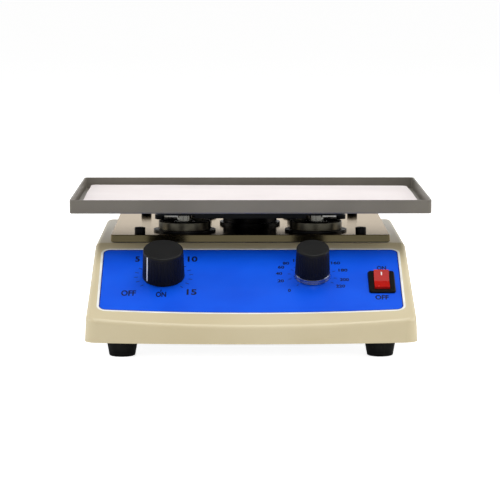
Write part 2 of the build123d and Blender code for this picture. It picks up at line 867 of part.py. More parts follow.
def make_speed_pot():
    bushing, bore = face_bushing(speed_x)
    case = on_face(speed_x, knob_down, behind_wall - pot_depth / 2) * Cylinder(pot_radius, pot_depth)
    case = chamfer(case.edges(), 1)
    for i in (-1, 0, 1):
        lug = Pos(i * 5, -pot_radius - 3, behind_wall - pot_depth + 3) * Box(2.4, 9, 0.8)
        case += on_face(speed_x, knob_down) * lug
    return case + bushing - bore


def panel_nut(x):
    low = -panel_recess + panel_thick
    nut = extrude(RegularPolygon(nut_flats / 2, 6, major_radius=False), nut_thick)
    nut = Pos(0, 0, low) * nut - Cylinder(bushing_radius, 20)
    return on_face(x, knob_down) * nut


def make_speed_ring():
    """Bright skirt ring at the foot of the speed knob."""
    ring = Cone(speed_ring_radius, speed_ring_radius - 0.5, speed_ring_height)
    ring = chamfer(ring.edges().filter_by(GeomType.CIRCLE).sort_by(Axis.Z)[-1], 0.4)
    ring -= Cylinder(knob_cavity_radius, 20)
    return on_face(speed_x, knob_down, knob_seat + speed_ring_height / 2) * ring


switch_seat = -panel_recess + panel_thick
rocker_axle = switch_seat + bezel_proud - rocker_axle_depth


def make_switch_body():
    """Bezel on the panel with a body behind it and a well for the rocker."""
    bezel = Pos(0, 0, switch_seat) * extrude(RectangleRounded(bezel_width, bezel_length, 3), bezel_proud)
    bezel = chamfer(bezel.faces().sort_by(Axis.Z)[-1].edges(), 0.7)
    body_top = switch_seat
    body = Pos(0, 0, body_top - switch_body_depth / 2) * Box(
        switch_body_width, switch_body_length, switch_body_depth
    )
    tab_place = body_top - switch_body_depth - switch_tab_length / 2
    for end in (-1, 1):
        tab = Box(switch_tab_thick, switch_tab_width, switch_tab_length)
        body += Pos(0, end * switch_tab_spacing / 2, tab_place) * tab
    well = Pos(0, 0, switch_seat + bezel_proud - switch_well_depth / 2) * Box(
        rocker_width + 2 * rocker_clearance,
        rocker_length + 2 * rocker_clearance,
        switch_well_depth + 2,
    )
    axle_bar = Cylinder(rocker_axle_radius + running_fit, rocker_width + rocker_axle_ends + 1)
    axle_hole = Pos(0, 0, rocker_axle) * Rot(0, 90, 0) * axle_bar
    return on_face(switch_x, switch_down) * (bezel + body - well - axle_hole)


def make_rocker():
    """Two faces that meet in a shallow valley; the lower one is pressed in at rest."""
    reach = rocker_length / 2
    half_swing = rocker_swing / 2
    below = rocker_axle - rocker_skirt
    outline = Polyline(
        (-reach + 2 * rocker_lean, below),
        (-reach, rocker_axle),
        (-reach + rocker_lean, rocker_axle + rocker_end_height - rocker_lip),
        (-reach + 2 * rocker_lean, rocker_axle + rocker_end_height),
        (0, rocker_axle + rocker_valley_height),
        (reach - 2 * rocker_lean, rocker_axle + rocker_end_height),
        (reach - rocker_lean, rocker_axle + rocker_end_height - rocker_lip),
        (reach, rocker_axle),
        (reach - 2 * rocker_lean, below),
        close=True,
    )
    side_view = make_face(Plane.YZ * outline)
    paddle = extrude(side_view, rocker_width / 2, both=True)
    axle_bar = Cylinder(rocker_axle_radius, rocker_width + rocker_axle_ends)
    axle = Pos(0, 0, rocker_axle) * Rot(0, 90, 0) * axle_bar
    tipped = Pos(0, 0, rocker_axle) * Rot(half_swing, 0, 0) * Pos(0, 0, -rocker_axle)
    return on_face(switch_x, switch_down) * tipped * (paddle + axle)


def back_place(z=0.0, x=0.0, out=0.0):
    """Place on the inlet's outer face: X across, Z up, out to the back."""
    return Pos(inlet_x + x, y_back + inlet_pad_proud + inlet_flange + out, inlet_z + z)


def back_block(x, z, out_low, out_high, width, height):
    depth = out_high - out_low
    return back_place(z, x, (out_low + out_high) / 2) * Box(width, depth, height)


def make_inlet():
    """Flanged inlet: a socket for a lead above a slot for the fuse drawer."""
    plate = Plane.XZ * RectangleRounded(inlet_width, inlet_height, 4)
    flange = back_place(0, 0, 0) * extrude(plate, inlet_flange)
    inlet = flange + back_block(
        0, 0, -inlet_flange - inlet_body_depth, -inlet_flange, inlet_body_width, inlet_body_height
    )
    half = socket_width / 2
    tall = socket_height / 2
    outline = Polyline(
        (-half, -tall), (half, -tall), (half, tall - socket_chamfer), (half - socket_chamfer, tall),
        (-half + socket_chamfer, tall), (-half, tall - socket_chamfer), close=True,
    )
    well = make_face(Plane.XZ * outline)
    inlet -= back_place(socket_rise, 0, 1) * extrude(well, socket_depth + 1)
    inlet -= back_block(
        0, -drawer_drop, -drawer_depth - drawer_clearance, 1,
        drawer_width + 2 * drawer_clearance, drawer_height + 2 * drawer_clearance,
    )
    for x, z in inlet_pin_places:
        inlet -= back_block(
            x, z, -inlet_flange - inlet_body_depth - 1, -socket_depth + 1, pin_thick, pin_width
        )
    for side in (-1, 1):
        x = side * inlet_screw_spacing / 2
        place = back_place(0, x, -inlet_flange / 2) * Rot(90, 0, 0)
        inlet -= place * Cylinder(inlet_screw_radius, inlet_flange + 2)
        inlet -= back_place(0, x, -0.9) * Rot(-90, 0, 0) * Cone(inlet_screw_radius, 3.0, 1.8)
    return inlet


inlet_pin_places = [
    (-pin_spacing / 2, socket_rise - 2),
    (0, socket_rise + 3),
    (pin_spacing / 2, socket_rise - 2),
]


def inlet_screw(side):
    x = side * inlet_screw_spacing / 2
    head = back_place(0, x, -0.9) * Rot(-90, 0, 0) * Cone(inlet_screw_radius, 3.0, 1.8)
    shank = back_place(0, x, -6.8) * Rot(90, 0, 0) * Cylinder(inlet_screw_radius, 10)
    slot = back_block(x, 0, -0.8, 1, 1.0, 5)
    return head + shank - slot


def make_fuse_drawer():
    drawer = back_block(0, -drawer_drop, -drawer_depth, 0, drawer_width, drawer_height)
    lip = back_block(0, -drawer_drop, 0, drawer_lip, drawer_width + 1.6, drawer_height + 1.6)
    drawer += lip
    trough = back_block(
        0, -drawer_drop + 2, -drawer_depth + 4, -drawer_depth + 4 + 2 * fuse_radius + 0.4,
        fuse_length + 0.4, drawer_height,
    )
    drawer -= trough
    return drawer - back_block(0, -drawer_drop + drawer_height / 2 + 0.8, 0.3, 2, 10, 1.2)


def make_fuse():
    """Glass tube with a metal cap at each end, lying across the drawer."""
    middle = -drawer_depth + 4 + fuse_radius + 0.2
    place = back_place(-drawer_drop + 2 - drawer_height / 2 + fuse_radius, 0, middle)
    fuse = place * Rot(0, 90, 0) * Cylinder(fuse_radius - 0.3, fuse_length)
    for side in (-1, 1):
        x = side * (fuse_length / 2 - 2.5)
        fuse += place * Pos(x, 0, 0) * Rot(0, 90, 0) * Cylinder(fuse_radius, 5)
    return fuse


board_y = deck_middle + board_back
board_low = pan_top + standoff_height


def make_board():
    """Circuit board with a finned heat sink, capacitors, a relay and terminals."""
    x = board_x
    top = board_low + board_thick
    board = block(x, board_y, board_low, top, board_width, board_depth)
    sink = block(x - 18, board_y + 14, top, top + 20, 24, 3)
    for i in range(5):
        sink += block(x - 28 + i * 5, board_y + 18, top, top + 20, 1.4, 10)
    board += sink
    board += rod(x + 10, board_y + 16, top, top + 18, 7)
    board += rod(x + 24, board_y + 18, top, top + 14, 5)
    board += block(x - 14, board_y - 14, top, top + 15, 26, 16)
    board += block(x + 20, board_y - 18, top, top + 10, 20, 9)
    return board


def make_standoff(x, y):
    post = extrude(Pos(x, y, pan_top) * RegularPolygon(standoff_radius, 6), standoff_height)
    return post


def foot_screw(x, y):
    return pan_screw(x, y, foot_recess_depth, pan_top + 5, 4, 2.6, foot_screw_radius)


def foot_nut(x, y):
    nut = extrude(Pos(x, y, pan_top) * RegularPolygon(3.5, 6, major_radius=False), 3.2)
    return nut - rod(x, y, pan_top - 1, pan_top + 5, foot_screw_radius)


def group(solids):
    """Several separate solids kept as one sub-part."""
    return Compound(children=[solid for part in solids for solid in part.solids()])


pieces = {}
pieces["housing_shell"] = make_housing()
pieces["bottom_pan"] = make_pan()
pieces["housing_screws"] = group(
    [pan_screw(x, y, pan_floor, pan_top + 10, 3.2, 1.4, pan_screw_radius) for x, y in pan_screw_places]
    + [inlet_screw(side) for side in (-1, 1)]
)
for name, (x, y) in foot_places.items():
    pieces["foot_" + name] = make_foot(x, y)
pieces["foot_screws"] = group(
    [foot_screw(x, y) for x, y in foot_places.values()]
    + [foot_nut(x, y) for x, y in foot_places.values()]
)

overlay = extrude(face_plane * Pos(0, 0, -panel_recess) * panel_outline(0), panel_thick)
pieces["control_panel"] = overlay - face_holes(panel_clearance)
pieces["timer_body"] = make_timer_body()
pieces["speed_pot"] = make_speed_pot()
pieces["panel_nuts"] = group([panel_nut(timer_x), panel_nut(speed_x)])
knob = make_knob(timer_x, timer_knob_radius, timer_knob_height, timer_flutes, 0)
pieces["timer_pointer"] = make_pointer_slot(0)
pieces["timer_knob"] = knob - make_pointer_slot(0) - make_pointer_slot(2)
pieces["timer_shaft"] = knob_shaft(timer_x, timer_knob_height, bushing_end)
pieces["speed_knob"] = make_knob(
    speed_x, speed_knob_radius, speed_knob_height, speed_flutes, speed_ring_height
)
pieces["speed_ring"] = make_speed_ring()
pieces["speed_shaft"] = knob_shaft(speed_x, speed_knob_height, bushing_end)
pieces["switch_body"] = make_switch_body()
pieces["rocker"] = make_rocker()

pieces["deck_gasket"] = make_gasket()
pieces["deck_plate"] = make_deck_plate()
pieces["deck_screws"] = group(
    socket_screw(x, y, deck_z, deck_z - deck_screw_length, 5, 6, deck_screw_radius)
    for x, y in deck_screw_places
)
nuts = [ring_nut(0, deck_middle, drive_boss_radius)]
bearings = []
for name, (x, y) in crank_places.items():
    pieces["crank_hub_" + name] = make_hub(
        x, y, hub_flange_radius, hub_flange_thick, hub_boss_radius, hub_boss_depth,
        crank_bearing_radius, crank_bearing_width,
    )
    bearings += hub_bearings(
        x, y, hub_flange_thick, hub_boss_depth, crank_bearing_radius, crank_bearing_width,
        crank_spindle_radius,
    )
    nuts.append(ring_nut(x, y, hub_boss_radius))
    pieces["crank_disc_" + name] = make_crank_disc(x, y)
    pieces["crank_pin_" + name] = make_crank_pin(x, y - orbit_radius)
bearings += hub_bearings(
    0, deck_middle, drive_flange_thick, drive_boss_depth, drive_bearing_radius, drive_bearing_width,
    drive_spindle_radius,
)
pieces["spindle_bearings"] = group(bearings)
pieces["hub_ring_nuts"] = group(nuts)
pieces["drive_hub"] = make_hub(
    0, deck_middle, drive_flange_radius, drive_flange_thick, drive_boss_radius, drive_boss_depth,
    drive_bearing_radius, drive_bearing_width,
)
pieces["drive_rotor"] = make_drive_rotor()
pieces["drive_spindle"] = make_drive_spindle()
pieces["drive_pulley"] = make_drive_pulley()
pieces["counterweight"] = make_counterweight()

pieces["carrier_plate"] = make_carrier()
platform_pins = [(x, y - orbit_radius) for x, y in crank_places.values()]
pieces["carrier_bearings"] = group(
    [
        ball_bearing(x, y, carrier_bottom, pin_bearing_width, pin_bearing_radius, pin_stud_radius)
        for x, y in platform_pins
    ]
    + [
        ball_bearing(
            0, carrier_middle, carrier_bottom, centre_bearing_width, centre_bearing_radius,
            drive_pin_radius,
        )
    ]
)
pieces["bearing_keepers"] = group(make_keeper(x, y) for x, y in platform_pins)
carrier_screws = []
for x, y in platform_pins:
    side = 1 if x > 0 else -1
    place = x + side * keeper_screw_reach
    keeper_low = carrier_bottom - keeper_thick
    carrier_screws.append(
        pan_screw(place, y, keeper_low, carrier_bottom + 4, 2.6, 1.4, keeper_screw_radius)
    )
    carrier_screws.append(
        socket_screw(
            x + side * tray_screw_reach, y, carrier_bottom, carrier_top + tray_sheet,
            tray_screw_head_radius, tray_screw_head, tray_screw_radius,
        )
    )
pieces["carrier_screws"] = group(carrier_screws)
pieces["tray"] = make_tray()
pieces["tray_mat"] = make_mat()

pieces["motor_bracket"] = make_bracket()
pieces["motor_body"] = make_motor()
pieces["motor_shaft"] = rod(
    0, motor_y, bracket_z - bracket_thick - 17, pulley_rim_top + 1, motor_shaft_radius
)
pieces["motor_pulley"] = pulley(0, motor_y, motor_groove_radius, motor_shaft_radius)
pieces["drive_belt"] = make_belt()
pieces["motor_screws"] = group(
    [
        socket_screw(x, y, bracket_z, bracket_z - 7, 3.4, 2.4, small_screw_radius)
        for x, y in motor_screw_places
    ]
    + [
        socket_screw(x, y, pan_top + bracket_thick, pan_floor, 3.4, 2.4, small_screw_radius)
        for x, y in bracket_screw_places
    ]
)
pieces["control_board"] = make_board()
pieces["board_standoffs"] = group(
    make_standoff(board_x + side * (board_width / 2 - 6), board_y + end * (board_depth / 2 - 5))
    for side in (-1, 1)
    for end in (-1, 1)
)

pieces["inlet_body"] = make_inlet()
pieces["inlet_pins"] = group(
    back_block(x, z, -inlet_flange - inlet_body_depth - 7, -pin_recess, pin_thick, pin_width)
    for x, z in inlet_pin_places
)
pieces["fuse_drawer"] = make_fuse_drawer()
pieces["fuse"] = make_fuse()

os.makedirs("parts", exist_ok=True)
for name, piece in pieces.items():
    export_step(piece, "parts/" + name + ".step")
print(len(pieces), "sub-parts written")
print("front", y_front, "back", y_back, "ridge", y_ridge, "deck middle", deck_middle, "motor", motor_y)
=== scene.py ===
import json
import math

import bpy
import numpy as np
from mathutils import Matrix, Vector


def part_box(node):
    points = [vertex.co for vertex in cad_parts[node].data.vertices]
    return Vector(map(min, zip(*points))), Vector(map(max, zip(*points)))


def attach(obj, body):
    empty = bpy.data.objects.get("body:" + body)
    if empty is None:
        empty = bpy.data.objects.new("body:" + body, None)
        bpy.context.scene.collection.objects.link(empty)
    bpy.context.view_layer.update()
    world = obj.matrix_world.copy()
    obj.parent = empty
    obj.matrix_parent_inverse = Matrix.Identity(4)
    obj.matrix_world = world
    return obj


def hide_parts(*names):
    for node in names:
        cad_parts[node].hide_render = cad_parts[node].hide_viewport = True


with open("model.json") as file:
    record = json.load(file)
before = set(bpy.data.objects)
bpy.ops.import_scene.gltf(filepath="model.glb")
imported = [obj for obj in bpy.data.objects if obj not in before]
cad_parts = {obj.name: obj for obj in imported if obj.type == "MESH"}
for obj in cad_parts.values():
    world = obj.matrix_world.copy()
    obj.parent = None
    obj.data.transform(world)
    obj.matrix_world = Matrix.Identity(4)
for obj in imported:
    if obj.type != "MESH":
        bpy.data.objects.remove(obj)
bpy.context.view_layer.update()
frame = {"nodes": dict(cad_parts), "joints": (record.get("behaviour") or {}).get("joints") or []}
nodes = frame["nodes"]
mm = 0.001
wavePitch = 0.314  # metres, after which a wave texture of scale 1 repeats
print("frame loaded:", len(nodes), "nodes")

# Camera first, where the photographer stood
shot = {
    "place": (-13.9, -2289.1, 354.0),  # mm
    "pitchDown": 0.121,  # radians
    "yawRight": 0.006,
    "lens": 176.4,  # mm on a 36 mm sensor
}

cameraData = bpy.data.cameras.new("shot")
cameraData.lens = shot["lens"]
cameraData.sensor_width = 36
cameraData.clip_start = 0.05
cameraData.clip_end = 200
camera = bpy.data.objects.new("shot", cameraData)
bpy.context.scene.collection.objects.link(camera)
camera.location = Vector(shot["place"]) * mm
camera.rotation_euler = (math.pi / 2 - shot["pitchDown"], 0, -shot["yawRight"])
bpy.context.scene.camera = camera
print("camera placed")


def linearFrom(code):  # sRGB hex to the linear numbers a shader wants
    parts = [int(code[i:i + 2], 16) / 255 for i in (0, 2, 4)]
    return [v / 12.92 if v <= 0.04045 else ((v + 0.055) / 1.055) ** 2.4 for v in parts] + [1.0]


def addNode(tree, kind, links=(), **settings):  # links are pairs of an input and its value or socket
    node = tree.nodes.new(kind)
    for name, value in settings.items():
        setattr(node, name, value)
    for key, value in links:
        if isinstance(value, bpy.types.NodeSocket):
            tree.links.new(value, node.inputs[key])
        else:
            node.inputs[key].default_value = value
    return node


def startMaterial(name, **sockets):  # a material with one shader, whose fixed numbers sit on its sockets
    material = bpy.data.materials.new(name)
    material.use_nodes = True
    tree = material.node_tree
    tree.nodes.clear()
    shader = addNode(tree, "ShaderNodeBsdfPrincipled")
    for key, value in sockets.items():
        shader.inputs[key.replace("_", " ")].default_value = value
    addNode(tree, "ShaderNodeOutputMaterial", [("Surface", shader.outputs[0])])
    spot = addNode(tree, "ShaderNodeTexCoord").outputs["Object"]
    return material, tree, shader, spot


def addNoise(tree, spot, size, detail=2.0):  # a wandering pattern whose features are size mm across
    links = [("Vector", spot), ("Scale", 1 / (size * mm)), ("Detail", detail)]
    return addNode(tree, "ShaderNodeTexNoise", links).outputs[0]


def addWaves(tree, spot, pitch, links=(), **directions):  # even bands or rings, pitch mm apart
    start = [("Vector", spot), ("Scale", wavePitch / (pitch * mm))]
    return addNode(tree, "ShaderNodeTexWave", start + list(links), **directions).outputs[0]


def addCells(tree, spot, size):  # cells size mm across
    links = [("Vector", spot), ("Scale", 1 / (size * mm))]
    return addNode(tree, "ShaderNodeTexVoronoi", links).outputs[0]


def twoTone(tree, shader, pattern, low, high, start=0.35, stop=0.65):  # low to high along a pattern
    ramp = addNode(tree, "ShaderNodeValToRGB", [(0, pattern)])
    ramp.color_ramp.elements[0].position = start
    ramp.color_ramp.elements[1].position = stop
    ramp.color_ramp.elements[0].color = linearFrom(low)
    ramp.color_ramp.elements[1].color = linearFrom(high)
    tree.links.new(ramp.outputs[0], shader.inputs["Base Color"])


def emboss(tree, shader, pattern, height):  # relief along a pattern, height in mm
    links = [("Height", pattern), ("Distance", height * mm), ("Strength", 1.0)]
    bump = addNode(tree, "ShaderNodeBump", links)
    tree.links.new(bump.outputs[0], shader.inputs["Normal"])


def gloss(tree, shader, pattern, low, high):  # roughness wanders between two values
    reach = addNode(tree, "ShaderNodeMapRange", [(0, pattern), (3, low), (4, high)])
    tree.links.new(reach.outputs[0], shader.inputs["Roughness"])


def mouldedAbs(name, look):
    # Injection-moulded ABS from an etched tool: an even fine grain that breaks the highlight up softly
    material, tree, shader, spot = startMaterial(name, IOR=1.53, Roughness=look["roughness"])
    tone = addNoise(tree, spot, 90, 3.0)
    twoTone(tree, shader, tone, look["low"], look["high"])
    grain = addNoise(tree, spot, 0.8, 2.0)
    emboss(tree, shader, grain, look["grainHeight"])
    gloss(tree, shader, tone, look["roughness"] - 0.05, look["roughness"] + 0.06)
    return material


def moulded(name, look):
    # Smooth phenolic or nylon moulding: nearly plain, with a faint flow mark and pores under a millimetre
    material, tree, shader, spot = startMaterial(
        name, IOR=look.get("ior", 1.5), Roughness=look["roughness"],
        Specular_IOR_Level=look.get("specular", 0.5),
    )
    flow = addNoise(tree, spot, 14, 4.0)
    twoTone(tree, shader, flow, look["low"], look["high"])
    pores = addNoise(tree, spot, 0.6)
    emboss(tree, shader, pores, look.get("poreHeight", 0.01))
    gloss(tree, shader, flow, look["roughness"] - 0.04, look["roughness"] + 0.05)
    return material


def rubber(name, look):
    # Moulded nitrile rubber: matt, a little dusty, with a coarse grain of 0.9 mm
    material, tree, shader, spot = startMaterial(
        name, IOR=1.52, Roughness=look["roughness"], Specular_IOR_Level=look.get("specular", 0.5)
    )
    dust = addNoise(tree, spot, 6, 6.0)
    twoTone(tree, shader, dust, look["low"], look["high"], 0.3, 0.75)
    grain = addCells(tree, spot, 0.9)
    emboss(tree, shader, grain, 0.03)
    return material


def ribbedMat(name, look):
    # Non-slip rubber mat: low ribs across it at their true pitch, chalk-white and dull
    material, tree, shader, spot = startMaterial(
        name, IOR=1.5, Roughness=look["roughness"], Sheen_Weight=0.15
    )
    stain = addNoise(tree, spot, 70, 5.0)
    twoTone(tree, shader, stain, look["low"], look["high"], 0.3, 0.6)
    ribs = addWaves(tree, spot, look["ribPitch"], [("Distortion", 0.4)], bands_direction="Y")
    emboss(tree, shader, ribs, look["ribHeight"])
    return material


def enamel(name, look):
    # Stoved enamel on folded steel: a slight orange peel about 3 mm across over a slow cloud of tone
    material, tree, shader, spot = startMaterial(name, IOR=1.5, Roughness=look["roughness"])
    cloud = addNoise(tree, spot, 60, 3.0)
    twoTone(tree, shader, cloud, look["low"], look["high"])
    peel = addNoise(tree, spot, 3, 1.0)
    emboss(tree, shader, peel, look["peelHeight"])
    gloss(tree, shader, cloud, look["roughness"] - 0.06, look["roughness"] + 0.06)
    return material


def brushedMetal(name, look):
    # Sheet metal drawn over an abrasive belt: hair lines along one axis, far longer than wide
    material, tree, shader, spot = startMaterial(
        name, Metallic=1.0, Roughness=look["roughness"], Anisotropic=look.get("anisotropic", 0.3),
        Specular_Tint=linearFrom(look.get("edge", "FFFFFF")),
    )
    along = [1, 1, 1]
    along["XYZ".index(look.get("grain", "X"))] = 0.02  # fifty times longer than wide
    stretch = addNode(tree, "ShaderNodeMapping", [("Vector", spot), ("Scale", along)])
    hair = addNoise(tree, stretch.outputs[0], 0.5, 3.0)
    twoTone(tree, shader, hair, look["low"], look["high"], 0.25, 0.75)
    gloss(tree, shader, hair, look["roughness"] - 0.05, look["roughness"] + 0.08)
    emboss(tree, shader, hair, look.get("hairHeight", 0.004))
    return material


def turnedMetal(name, look):
    # Turned on a lathe: rings about the piece's own axis, with the feed mark drawn wide enough to show
    material, tree, shader, spot = startMaterial(name, Metallic=1.0, Roughness=look["roughness"])
    centre = Vector(look["centre"])
    shift = addNode(tree, "ShaderNodeMapping", [("Vector", spot), ("Location", -centre)])
    rings = addWaves(
        tree, shift.outputs[0], look["feed"], [("Distortion", 0.6), ("Detail", 2.0)],
        wave_type="RINGS", rings_direction="Z",
    )
    cloud = addNoise(tree, spot, 9, 4.0)
    twoTone(tree, shader, cloud, look["low"], look["high"])
    gloss(tree, shader, rings, look["roughness"] - 0.05, look["roughness"] + 0.07)
    emboss(tree, shader, rings, look.get("ringHeight", 0.004))
    return material


def groundSteel(name, look):
    # Ground or drawn bar: fine bands across its length, where bright and duller metal alternate
    material, tree, shader, spot = startMaterial(name, Metallic=1.0, Roughness=look["roughness"])
    bands = addWaves(
        tree, spot, 0.8, [("Distortion", 1.2), ("Detail", 2.0)], bands_direction=look.get("grain", "Z")
    )
    twoTone(tree, shader, bands, look["low"], look["high"], 0.1, 0.9)
    gloss(tree, shader, bands, look["roughness"] - 0.04, look["roughness"] + 0.06)
    emboss(tree, shader, bands, 0.003)
    return material


def zincPlate(name, look):
    # Zinc plate with a clear passivate: a small spangle, and a cast of colour that drifts over it
    material, tree, shader, spot = startMaterial(name, Metallic=1.0, Roughness=look["roughness"])
    spangle = addCells(tree, spot, 1.6)
    cast = addNoise(tree, spot, 7, 2.0)
    twoTone(tree, shader, cast, look["low"], look["high"])
    gloss(tree, shader, spangle, look["roughness"] - 0.06, look["roughness"] + 0.1)
    return material


def polyester(name, look):
    # Polyester film printed from behind: a satin face with a fine velvet lacquer and a thin clear coat
    material, tree, shader, spot = startMaterial(
        name, IOR=1.58, Roughness=look["roughness"], Specular_IOR_Level=0.12, Coat_Weight=look["coat"],
        Coat_Roughness=look["coatRoughness"],
    )
    ink = addNoise(tree, spot, 45, 2.0)
    twoTone(tree, shader, ink, look["low"], look["high"])
    lacquer = addNoise(tree, spot, 0.4)
    emboss(tree, shader, lacquer, 0.006)
    return material


def castIron(name, look):
    # As-cast iron from a sand mould: dull, and pitted at about 1.5 mm
    material, tree, shader, spot = startMaterial(name, Metallic=0.8, Roughness=look["roughness"])
    sand = addNoise(tree, spot, 1.5, 8.0)
    twoTone(tree, shader, sand, look["low"], look["high"])
    emboss(tree, shader, sand, 0.12)
    return material


def circuitBoard(name, look):
    # Glass-epoxy under green solder mask: copper tracks show as paler straight lines 4.5 mm apart
    material, tree, shader, spot = startMaterial(name, IOR=1.55, Roughness=look["roughness"])
    tracks = addNode(
        tree, "ShaderNodeTexBrick",
        [("Vector", spot), ("Scale", 1 / (18 * mm)), ("Color1", linearFrom(look["low"])),
         ("Color2", linearFrom(look["low"])), ("Mortar", linearFrom(look["high"])), ("Mortar Size", 0.04)],
    )
    tree.links.new(tracks.outputs[0], shader.inputs["Base Color"])
    return material


def clearGlass(name, look):
    # Drawn soda glass tube: clear, with faint draw lines along it
    material, tree, shader, spot = startMaterial(
        name, IOR=1.51, Roughness=look["roughness"], Transmission_Weight=0.9
    )
    lines = addWaves(tree, spot, 1.2, bands_direction="Z")
    twoTone(tree, shader, lines, look["low"], look["high"])
    return material


def wear(piece, material):  # a CAD node by its name, or a new piece
    target = nodes[piece] if isinstance(piece, str) else piece
    target.data.materials.clear()
    target.data.materials.append(material)


def addPiece(name, mesh, material):
    piece = bpy.data.objects.new(name, mesh)
    bpy.context.scene.collection.objects.link(piece)
    wear(piece, material)
    return piece


def axisOf(node):  # where the upright axis through a CAD node's box meets the ground
    low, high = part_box(node)
    return (low + high) / 2 * Vector((1, 1, 0))


# Housing, pan and feet
corners = ("front_left", "front_right", "rear_left", "rear_right")
housingLook = {"low": "CDBF9B", "high": "D2C5A3", "roughness": 0.34, "grainHeight": 0.01}
feetLook = {"low": "060606", "high": "0D0D0C", "roughness": 0.62, "specular": 0.12}
panLook = {"low": "8E9092", "high": "A9ABAC", "roughness": 0.38, "grain": "X"}
wear("housing_shell", mouldedAbs("creamAbs", housingLook))
footRubber = rubber("footRubber", feetLook)
for corner in corners:
    wear("foot_" + corner, footRubber)
sheetSteel = brushedMetal("sheetSteel", panLook)
wear("bottom_pan", sheetSteel)
wear("motor_bracket", sheetSteel)
blackOxide = groundSteel("blackOxide", {"low": "0E0E0F", "high": "1C1C1E", "roughness": 0.4})
brightZinc = zincPlate("brightZinc", {"low": "A3A095", "high": "B4B4B2", "roughness": 0.3})
for name in ("housing_screws", "deck_screws", "motor_screws", "carrier_screws"):
    wear(name, blackOxide)
for name in ("bearing_keepers", "foot_screws", "hub_ring_nuts", "panel_nuts", "board_standoffs"):
    wear(name, brightZinc)
print("housing finished")

# Control face
panelLook = {"low": "0350DE", "high": "0657E6", "roughness": 0.4, "coat": 0.12, "coatRoughness": 0.08}
knobLook = {"low": "060606", "high": "0A0A0A", "roughness": 0.42, "poreHeight": 0.006, "specular": 0.2}
wear("control_panel", polyester("bluePolyester", panelLook))
knobBlack = moulded("knobPhenolic", knobLook)
wear("timer_knob", knobBlack)
wear("speed_knob", knobBlack)
paintWhite = moulded("whiteInfill", {"low": "E4E4DE", "high": "F2F2EE", "roughness": 0.45})
wear("timer_pointer", paintWhite)
controls = {j["name"]: j for j in frame["joints"]}
faceOut = Vector(controls["timer_turn"]["axis"])
acrossFace = Vector((1, 0, 0))
upFace = faceOut.cross(acrossFace)
timerMiddle = Vector(controls["timer_turn"]["pos_m"])
speedMiddle = Vector(controls["speed_turn"]["pos_m"])
rockerMiddle = Vector(controls["switch_rock"]["pos_m"])
ringLook = {"low": "8E9094", "high": "ABADB1", "roughness": 0.22, "feed": 0.5, "centre": speedMiddle}
wear("speed_ring", turnedMetal("spunAluminium", ringLook))
shaftSteel = groundSteel("shaftSteel", {"low": "8E8F92", "high": "B2B3B5", "roughness": 0.26})
for name in ("timer_shaft", "speed_shaft", "motor_shaft", "drive_spindle"):
    wear(name, shaftSteel)
switchLook = {"low": "060606", "high": "0A0A0A", "roughness": 0.3, "specular": 0.15}
wear("switch_body", moulded("switchNylon", switchLook))
rockerLook = {"low": "A81009", "high": "B8170D", "roughness": 0.26, "ior": 1.58, "specular": 0.12}
wear("rocker", moulded("redPolycarbonate", rockerLook))
wear("timer_body", moulded("caseNylon", {"low": "CFC8B4", "high": "DDD7C6", "roughness": 0.5}))
wear("speed_pot", brushedMetal("platedCase", {"low": "8F9194", "high": "B3B5B8", "roughness": 0.32}))
wear("control_board", circuitBoard("circuitBoard", {"low": "1E5A34", "high": "3E8A4E", "roughness": 0.35}))
print("controls finished")

# Deck and drive
# The deck's dark olive base is painted shade and painted reflection: the polished plate is darkened to
# match its front edge, which lies in the tray's shadow and mirrors the dark room
deckLook = {
    "low": "4F4834", "high": "59523D", "edge": "F3E2CA", "roughness": 0.14, "grain": "X",
    "anisotropic": 0.2, "hairHeight": 0.0012,
}
hubLook = {"low": "1B1C1E", "high": "28292B", "roughness": 0.34, "feed": 0.9}
discLook = {"low": "46443A", "high": "57544A", "roughness": 0.36, "feed": 0.9}
wear("deck_plate", brushedMetal("polishedDeck", deckLook))
beltRubber = rubber("beltRubber", {"low": "121212", "high": "202020", "roughness": 0.6})
wear("deck_gasket", beltRubber)
wear("drive_belt", beltRubber)
for corner in corners:
    axis = axisOf("crank_hub_" + corner)
    wear("crank_hub_" + corner, turnedMetal("blackAnodised." + corner, {**hubLook, "centre": axis}))
    wear("crank_disc_" + corner, turnedMetal("bronzedDisc." + corner, {**discLook, "centre": axis}))
postSteel = groundSteel("postSteel", {"low": "55554F", "high": "8A8984", "roughness": 0.2, "grain": "Z"})
for corner in corners:
    wear("crank_pin_" + corner, postSteel)
driveAxis = axisOf("drive_hub")
driveBlack = turnedMetal("blackAnodised.drive", {**hubLook, "centre": driveAxis})
wear("drive_hub", driveBlack)
wear("drive_rotor", driveBlack)
carrierLook = {"low": "17181A", "high": "232426", "roughness": 0.4, "grain": "X"}
wear("carrier_plate", brushedMetal("blackSheet", carrierLook))
bearingLook = {"low": "B4B6B8", "high": "CDCFD1", "roughness": 0.12, "feed": 1.0, "centre": driveAxis}
bearingSteel = turnedMetal("bearingSteel", bearingLook)
wear("spindle_bearings", bearingSteel)
wear("carrier_bearings", bearingSteel)
pulleyLook = {"low": "9EA0A3", "high": "B9BBBE", "roughness": 0.27, "feed": 0.8}
for name in ("drive_pulley", "motor_pulley"):
    wear(name, turnedMetal("turnedAluminium." + name, {**pulleyLook, "centre": axisOf(name)}))
wear("counterweight", castIron("castIron", {"low": "3C3C3D", "high": "5A5A5B", "roughness": 0.6}))
motorLook = {"low": "303236", "high": "3E4146", "roughness": 0.4, "peelHeight": 0.03}
wear("motor_body", enamel("motorEnamel", motorLook))
print("drive finished")

